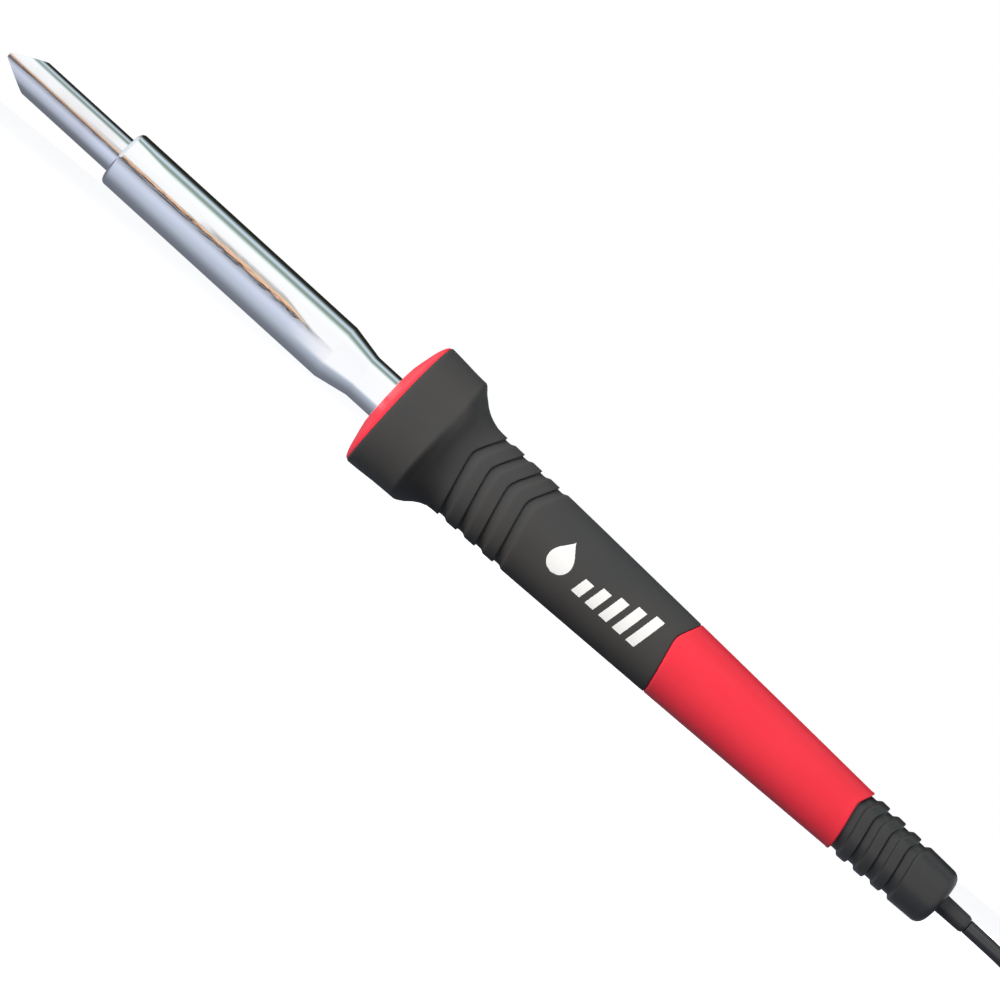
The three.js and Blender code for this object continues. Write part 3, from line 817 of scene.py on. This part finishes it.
def groove_rings(start):
    """Stations across one grip groove, with the depth at each: a steep front wall and a soft rear ramp."""
    return [
        (start - 0.5, 0.0),
        (start - 0.14, 0.0),
        (start - 0.02, 0.05),
        (start + 0.12, 0.5),
        (start + 0.26, 0.58),
        (start + 1.1, 0.57),
        (start + 1.75, 0.52),
        (start + 2.15, 0.3),
        (start + 2.45, 0.07),
        (start + 2.75, 0.0),
    ]


def make_grip():
    first_groove, pitch, grooves, groove_rest = 20.6, 5.6, 4, 3.9
    lip, lip_steps = 0.4, 5
    sleeve_start, seam, sleeve_steps = 42, 83.45, 24
    rings = []
    for k in range(lip_steps, -1, -1):
        angle = math.pi / 2 * k / lip_steps
        edge = handle_ring(lip * (1 - math.sin(angle)), drop=lip * (1 - math.cos(angle)), swept=False)
        rings.append(leaning(edge))
    flange = [2, 4, 6, 8, 9.5, 10.5, 11.2, 11.7, 12, 12.3, 12.7, 13.2, 13.8, 14.3, 15, 15.7, 16.5, 17.3,
              18.2, 19]
    rings += [handle_ring(x) for x in flange]
    for groove in range(grooves):
        start = first_groove + groove * pitch
        rings += [handle_ring(x, drop=depth) for x, depth in groove_rings(start)]
        rings.append(handle_ring(start + groove_rest))
    sleeve = [sleeve_start + (seam - sleeve_start) * k / sleeve_steps for k in range(sleeve_steps)]
    rings += [handle_ring(x) for x in sleeve]
    rear_edge = [(seam - 0.35, 0), (seam - 0.12, 0.03), (seam - 0.02, 0.14), (seam, 0.4), (seam, 1.5)]
    rings += [handle_ring(x, drop=depth) for x, depth in rear_edge]
    inner = [seam - 2, 60, 40, 25, 21, 19, 17, 15.5, 14, 12, 6, 1.2]
    rings += [handle_ring(x, GRIP_WALL, swept=x > 60) for x in inner]
    rings.append(leaning(handle_ring(0, GRIP_WALL - 0.15, swept=False)))
    grip = skin("soft_touch_grip", rings, True, sharp=math.radians(60))
    fit(grip, BLACK_RUBBER, "grip_rubber", "root", "soft_grip")


def make_core():
    seam, rear, side_steps = 83.6, 140.1, 30
    front_edge = [(seam, 1.5), (seam, 0.45), (seam + 0.03, 0.16), (seam + 0.14, 0.03), (seam + 0.4, 0)]
    side = [(seam + 1 + (rear - seam - 2) * k / side_steps, 0) for k in range(side_steps + 1)]
    rear_edge = [(rear - 0.6, -0.06), (rear - 0.22, -0.06), (rear - 0.06, 0.03), (rear, 0.2), (rear, 1.2)]
    rings = [handle_ring(x, drop=depth) for x, depth in front_edge + side + rear_edge]
    bore = [(139.5, 6.5), (120, 6.5), (86, 6.5), (20, 8.2), (7.4, 8.4), (7.4, 13.2), (1.3, 13.2)]
    rings += [circle(x, r) for x, r in bore]
    under_grip = [1.3, 6, 12, 13.2, 14.3, 15.7, 17.3, 19, 21, 23, 40, 60]
    rings += [handle_ring(x, GRIP_WALL + GAP, swept=False) for x in under_grip]
    rings.append(handle_ring(seam - 1.5, GRIP_WALL + GAP))
    core = skin("red_handle_core", rings, True, sharp=math.radians(60))
    fit(core, RED_PLASTIC, "red_plastic", "root", "handle_core")


def cap_ring(station, inset, share=1.0):
    """A ring of the cap's outline, shrunk to a share of itself; in front it leans back with the flange."""
    ring = []
    for i in range(ROUND):
        angle = turn(i)
        radius = outline_radius(angle, FLANGE_CORNER - inset, FLANGE_OFFSET) * share
        lean = set_back(angle) * share**4 if station < 0 else 0
        ring.append((station + lean, radius * math.cos(angle), radius * math.sin(angle)))
    return ring


def make_cap():
    """Red front cap: a shallow crown with a chamfered rim round the clear light ring."""
    window, bore, ledge, back = 7.6, 9.5, -1.2, 1.0
    mouth = [(ledge, window), (-2.5, window), (-2.68, window + 0.12), (-2.72, window + 0.35)]
    crown = [(-2.58, 0.52), (-2.32, 0.59), (-2.06, 0.66), (-1.8, 0.73), (-1.55, 0.8), (-1.3, 0.86),
             (-1.06, 0.905), (-0.85, 0.935)]
    rim = [(-0.72, 0.72), (-0.5, 0.46), (-0.25, 0.3), (-0.04, 0.26), (-0.04, GRIP_WALL + 0.2),
           (back, GRIP_WALL + GAP)]
    rings = [circle(x, r) for x, r in mouth]
    rings += [cap_ring(x, 0, share) for x, share in crown]
    rings += [cap_ring(x, inset) for x, inset in rim]
    rings += [circle(back, bore), circle(ledge, bore)]
    cap = skin("red_front_cap", rings, True, sharp=math.radians(35))
    fit(cap, RED_PLASTIC, "red_plastic", "root", "front_cap")


def make_light_ring():
    """A stepped lens: a narrow part in the cap's window, a wider one behind it."""
    bore, lens, radius = 6.0, 7.5, 9.3
    front, step, back = -2.9, -1.15, -0.6
    corners = [(front, bore, 0.2), (front + 0.3, lens, 0.3), (step, lens, 0), (step, radius, 0.1),
               (back, radius, 0.1), (back, bore, 0.1)]
    ring = turned("clear_light_ring", corners, 128)
    fit(ring, CLEAR, "clear_plastic", "root", "light_ring")


make_grip()
make_core()
make_cap()
make_light_ring()


# Boot: ribs that follow the handle's swept lines, a collar and a short tail on the cord
def boot_ring(station, radius):
    ring = []
    for i in range(ROUND):
        angle = turn(i)
        shift = sweep(station, radius * math.sin(angle))
        ring.append((station + shift, radius * math.cos(angle), radius * math.sin(angle)))
    return ring


def make_boot():
    """Front to back: a spigot in the handle, three ribs, a collar and a tail; the tail's bore ends it."""
    spigot = [(137.4, 2.0, 0), (137.4, 6.1, 0.2), (139.8, 6.1, 0.1), (139.9, 7.45, 0.2)]
    ribs = []
    for front, back, radius, foot_before, foot_after in (
        (142.15, 145.3, 8.27, 7.45, 7.3),
        (147.4, 150.5, 8.1, 7.3, 7.2),
        (152.65, 155.7, 7.88, 7.2, 7.0),
    ):
        ribs += [(front - 0.05, foot_before, 0.4), (front + 0.5, radius, 0.45),
                 (back - 0.2, radius - 0.06, 0.4), (back + 0.3, foot_after, 0.4)]
    collar = [(157.9, 7.0, 0.4), (158.45, 7.83, 0.5), (169.7, 7.5, 2.3)]
    tail = [(170.1, 2.42, 0.4), (177.5, 2.25, 0.3), (178.25, 1.98, 0.1), (178.25, 1.85, 0), (175, 1.85, 0),
            (172, 2.0, 0)]
    rings = [boot_ring(x, r) for x, r in rounded(spigot + ribs + collar + tail)]
    boot = skin("ribbed_boot", rings, True, sharp=math.radians(40))
    fit(boot, BOOT_RUBBER, "boot_rubber", "root", "strain_relief_boot")


make_boot()


# A neutral printed device: a drop of solder and a row of rising heat bars
PRINT_SKIN = 0.04


def on_grip(x, z):
    """A point just above the grip's near side."""
    radius = blend_at(HANDLE, x, 1) + PRINT_SKIN
    return (x, -math.sqrt(radius * radius - z * z), z)


def drop_half_width(share):
    """Half the drop's width at a share of its height: a round belly that tapers to a point."""
    widest, belly, least = 3.15, 0.36, 0.02
    if share < belly:
        return max(least, widest * math.sqrt(max(0.0, 1 - (share / belly - 1) ** 2)))
    return max(least, widest * math.cos(math.pi / 2 * (share - belly) / (1 - belly)) ** 1.25)


def make_print():
    bm = bmesh.new()
    across = 6

    def patch(left, right):
        """A patch between two rows of (x, z) points, bent to the grip."""
        columns = []
        for k in range(across + 1):
            share = k / across
            columns.append([
                bm.verts.new(on_grip(a[0] + (b[0] - a[0]) * share, a[1] + (b[1] - a[1]) * share))
                for a, b in zip(left, right)
            ])
        for one, other in zip(columns, columns[1:]):
            for k in range(len(left) - 1):
                bm.faces.new((one[k], one[k + 1], other[k + 1], other[k]))

    foot = -4.1
    drop_middle, drop_height, drop_steps = 52, 8.8, 24
    shares = [k / drop_steps for k in range(drop_steps + 1)]
    drop = [(drop_half_width(share), foot + drop_height * share) for share in shares]
    patch([(drop_middle - half, z) for half, z in drop], [(drop_middle + half, z) for half, z in drop])
    bar_start, bar_pitch, bar_width, slant, bar_steps = 58.3, 4.2, 2.5, 0.2, 10
    for number in range(5):
        x = bar_start + number * bar_pitch
        height = 4.2 + number * 1.15
        rises = [height * k / bar_steps for k in range(bar_steps + 1)]
        patch([(x + slant * rise, foot + rise) for rise in rises],
              [(x + bar_width + slant * rise, foot + rise) for rise in rises])
    bmesh.ops.recalc_face_normals(bm, faces=bm.faces)
    mesh = bpy.data.meshes.new("printed_device")
    bm.to_mesh(mesh)
    bm.free()
    mesh.transform(IRON)
    device = bpy.data.objects.new("printed_device", mesh)
    bpy.context.scene.collection.objects.link(device)
    thick = device.modifiers.new("ink", "SOLIDIFY")
    thick.thickness = 0.06 * MM
    thick.offset = 0
    fit(device, WHITE_PRINT, "white_print", "root")


make_print()


# The pieces inside keep their CAD shape and get their own finishes
def dress_inner_nodes():
    slots = {part["node"]: part["material_slot"] for part in frame["record"]["subparts"]}
    for name, node in frame["nodes"].items():
        node.data.materials.clear()
        node.data.materials.append(INNER_LOOKS[slots[name]])


dress_inner_nodes()


# Stage: a pale table, white surroundings and soft studio light. The camera sees them plain; the metal mirrors
# a studio with more in it, which is fixed in the room.
TABLE_MIRRORED = [
    (-0.3, (0.4, 0.42, 0.48)),
    (-0.19, (0.42, 0.44, 0.5)),
    (-0.1, (0.48, 0.51, 0.59)),
    (-0.067, (0.56, 0.6, 0.7)),
    (-0.039, (0.73, 0.79, 0.95)),
    (-0.026, (0.69, 0.75, 0.91)),
    (-0.0176, (0.6, 0.66, 0.79)),
    (-0.011, (0.5, 0.56, 0.66)),
    (-0.0053, (0.34, 0.37, 0.44)),
    (0.0006, (0.21, 0.23, 0.27)),
    (0.011, (0.17, 0.19, 0.23)),
    (0.03, (0.17, 0.18, 0.21)),
    (0.08, (0.3, 0.33, 0.4)),
    (0.3, (0.2, 0.21, 0.24)),
]
DARK_THINGS = (0.04, 0.025, 0.02, 1)
WHITE_SHEET = (1.1, 1.1, 1.12, 1)


def table_look():
    """Pale to the eye and dim to the iron. In the metal: a cool ramp from front to back by the table's Y in
    metres, dark specks far in front, and a white sheet before the handle."""
    material = bpy.data.materials.new("pale_table")
    material.use_nodes = True
    material.node_tree.nodes.clear()
    wires = Wires(material.node_tree)
    rays = wires.node("LightPath").outputs
    place = wires.node("TexCoord").outputs["Object"]
    parts = wires.node("SeparateXYZ", Vector=place).outputs
    cool = wires.ramp(parts["Y"], TABLE_MIRRORED)

    # Stations fan out toward the front: doubled at the camera's distance
    fan = wires.spread(parts["Y"], 0, -CAMERA_DISTANCE, 1, 2, clamp=False)
    along = wires.math("DIVIDE", parts["X"], fan)
    spot = wires.node("CombineXYZ", X=along, Y=wires.spread(fan, 1, 2, 0, 0.012)).outputs[0]
    specks = wires.spread(wires.clouds(spot, 330, 3), 0.47, 0.54, 0, 1)
    far_in_front = wires.spread(fan, 1.08, 1.19, 0, 1)
    specked = wires.mix_color(wires.math("MULTIPLY", far_in_front, specks), cool, DARK_THINGS)
    near_handle = wires.spread(along, -0.061, -0.046, 0, 1)
    in_front = wires.spread(parts["Y"], -0.017, -0.011, 1, 0)
    sheeted = wires.mix_color(wires.math("MULTIPLY", near_handle, in_front), specked, WHITE_SHEET)

    pale = wires.node("BsdfDiffuse", Color=(0.75, 0.76, 0.8, 1))
    seen = wires.join("AddShader", pale, wires.node("Emission", Strength=0.86))
    dim = wires.node("BsdfDiffuse", Color=(0.1, 0.1, 0.115, 1))
    plain = wires.join("MixShader", dim, seen, rays["Is Camera Ray"])
    mirrored = wires.node("Emission", Color=sheeted)
    surface = wires.join("MixShader", plain, mirrored, rays["Is Glossy Ray"])
    wires.node("OutputMaterial", Surface=surface.outputs[0])
    return material


def make_floor():
    half_side = 8
    bm = bmesh.new()
    bmesh.ops.create_grid(bm, x_segments=1, y_segments=1, size=half_side)
    mesh = bpy.data.meshes.new("floor")
    bm.to_mesh(mesh)
    bm.free()
    mesh.materials.append(table_look())
    floor = bpy.data.objects.new("floor", mesh)
    floor.location.z = -0.05 * MM
    bpy.context.scene.collection.objects.link(floor)


# The mirrored studio by height over the front horizon in degrees: 90 is straight up, 180 the back horizon
SKY = [
    (0, (0.07, 0.04, 0.03)),
    (1.2, (0.16, 0.1, 0.07)),
    (2.6, (0.85, 0.42, 0.22)),
    (9.5, (1.1, 0.72, 0.48)),
    (14.5, (0.85, 0.68, 0.52)),
    (19, (0.5, 0.48, 0.42)),
    (25, (0.72, 0.72, 0.72)),
    (33, (1.1, 1.1, 1.1)),
    (66, (1.15, 1.17, 1.18)),
    (71, (1.05, 1.13, 1.13)),
    (76, (0.8, 0.92, 0.9)),
    (81, (0.48, 0.58, 0.53)),
    (87, (0.3, 0.38, 0.32)),
    (91, (0.29, 0.36, 0.32)),
    (97, (0.43, 0.54, 0.55)),
    (103, (0.66, 0.79, 0.87)),
    (109, (0.67, 0.8, 0.88)),
    (117, (0.3, 0.38, 0.42)),
    (124.5, (0.08, 0.1, 0.09)),
    (132, (0.025, 0.025, 0.018)),
    (180, (0.015, 0.015, 0.015)),
]
OPEN_SIDES = (0.9, 0.95, 1, 1)
WHITE_HEIGHT = 40

# On the tip's side the studio's bands lie lower or higher by these shares of the reach, about the middle
TIP_SIDE_REACH = 50
TIP_SIDE_SHARES = [(8, 0.5), (13, 0.9), (45, 0.9), (70, 0.1), (95, 0.1), (130, 0.45), (180, 0.5)]


def make_world():
    """White to the eye; in the metal, a bright studio with a warm line at the horizon and a dark far wall."""
    world = bpy.data.worlds.new("studio")
    bpy.context.scene.world = world
    world.use_nodes = True
    world.node_tree.nodes.clear()
    wires = Wires(world.node_tree)
    rays = wires.node("LightPath").outputs
    place = wires.node("TexCoord").outputs["Generated"]
    parts = wires.node("SeparateXYZ", Vector=place).outputs
    toward = wires.math("MULTIPLY", parts["Y"], -1)
    height = wires.math("MULTIPLY", wires.math("ARCTAN2", parts["Z"], toward), 180 / math.pi)

    # Low down the bands are uneven
    unevenness = wires.spread(wires.clouds(place, 1, 3, (260, 0, 16)), 0.32, 0.68, -9, 9)
    low_down = wires.spread(height, 12, 36, 1, 0)
    uneven_height = wires.math("ADD", height, wires.math("MULTIPLY", unevenness, low_down))

    # The warm line ends before the handle, comes back for the cord, and ends again beyond it
    before_handle = wires.spread(parts["X"], -0.072, -0.055, 0, WHITE_HEIGHT)
    before_cord = wires.spread(parts["X"], 0.152, 0.158, WHITE_HEIGHT, 0)
    beyond_cord = wires.spread(parts["X"], 0.175, 0.18, 0, WHITE_HEIGHT)
    cleared = wires.math("MAXIMUM", wires.math("MINIMUM", before_handle, before_cord), beyond_cord)
    raised = wires.math("MAXIMUM", uneven_height, cleared)

    tip_side = wires.spread(parts["X"], -0.1325, -0.112, 1, 0)
    shares = wires.ramp(height, [(degrees, (share, share, share)) for degrees, share in TIP_SIDE_SHARES])
    shift = wires.math("MULTIPLY", wires.math("SUBTRACT", shares, 0.5), TIP_SIDE_REACH)
    seen_height = wires.math("ADD", raised, wires.math("MULTIPLY", tip_side, shift))
    sideways = wires.spread(wires.math("ABSOLUTE", parts["X"], 0), 0.3, 0.6, 0, 1)
    mirrored_color = wires.mix_color(sideways, wires.ramp(seen_height, SKY), OPEN_SIDES)

    mirrored = wires.node("Background", Color=mirrored_color)
    ambient = wires.node("Background", Color=(0.86, 0.93, 1, 1), Strength=0.13)
    white = wires.node("Background", Color=(1, 1, 1, 1))
    studio = wires.join("MixShader", ambient, mirrored, rays["Is Glossy Ray"])
    surface = wires.join("MixShader", studio, white, rays["Is Camera Ray"])
    wires.node("OutputWorld", Surface=surface.outputs[0])


def make_lamp(name, place, size, power, color=(1, 1, 1)):
    data = bpy.data.lights.new(name, "AREA")
    data.shape = "RECTANGLE"
    data.size, data.size_y = size
    data.energy = power
    data.color = color
    lamp = bpy.data.objects.new(name, data)
    lamp.location = place
    lamp.rotation_mode = "QUATERNION"
    lamp.rotation_quaternion = (-Vector(place)).to_track_quat("-Z", "Y")
    lamp.visible_glossy = False
    bpy.context.scene.collection.objects.link(lamp)


make_floor()
make_world()
make_lamp("key", (-0.75, -1.0, 0.33), (0.7, 0.4), 19.5, (1, 0.965, 0.92))
make_lamp("far_fill", (0.3, 1.2, 0.3), (0.8, 0.4), 8)
make_lamp("top", (-0.2, -0.35, 1.0), (0.8, 0.5), 1.3, (0.75, 0.9, 1))
bpy.context.scene.view_settings.view_transform = "Standard"
